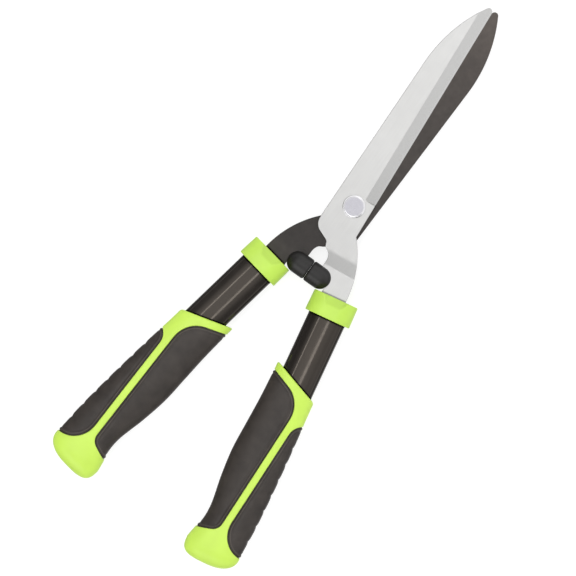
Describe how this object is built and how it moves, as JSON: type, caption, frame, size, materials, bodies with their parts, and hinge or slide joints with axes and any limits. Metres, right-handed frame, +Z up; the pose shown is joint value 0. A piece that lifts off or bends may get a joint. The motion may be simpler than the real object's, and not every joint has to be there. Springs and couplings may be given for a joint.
{
  "type": "hedge shears",
  "caption": "Hedge shears with two straight bevelled blades on a bolted pivot, oval tube handles, rubber bumpers and soft two-tone grips; the handles swing open.",
  "frame": {"origin": "centre of the bounding box at its bottom, on the surface that the closed shears lie on, between the pivot and the collars", "axes": "+Y towards the blade tips along the centre line, +X towards the handle of the bright upper blade, +Z up out of the surface and along the pivot bolt towards its head"},
  "size_m": [0.192, 0.5318, 0.031],
  "materials": {
    "ground_steel": "satin",
    "blade_coating": "satin",
    "bolt_steel": "satin",
    "zinc_steel": "satin",
    "nylon": "matte",
    "tube_paint": "gloss",
    "green_plastic": "satin",
    "bumper_rubber": "satin",
    "plug_plastic": "matte",
    "rivet_steel": "satin",
    "grip_green": "satin",
    "soft_panel": "matte"
  },
  "bodies": {
    "left_half": {"lower_blade": "blade_coating", "left_tube": "tube_paint", "left_collar": "green_plastic", "left_bumper": "bumper_rubber", "left_tang_plug": "plug_plastic", "left_tang_rivet": "rivet_steel", "left_grip_core": "grip_green", "left_inner_panel": "soft_panel", "left_outer_panel": "soft_panel"},
    "right_half": {"upper_blade": "ground_steel", "pivot_bolt": "bolt_steel", "spring_washer": "zinc_steel", "flat_washer": "zinc_steel", "lock_nut": "zinc_steel", "nut_insert": "nylon", "right_tube": "tube_paint", "right_collar": "green_plastic", "right_bumper": "bumper_rubber", "right_tang_plug": "plug_plastic", "right_tang_rivet": "rivet_steel", "right_grip_core": "grip_green", "right_inner_panel": "soft_panel", "right_outer_panel": "soft_panel"}
  },
  "joints": [
    {"name": "blade_pivot", "type": "hinge", "parent": "left_half", "child": "right_half", "pos_m": [0, 0.05936, 0.0155], "axis": [0, 0, 1], "range_deg": [0, 80]}
  ]
}
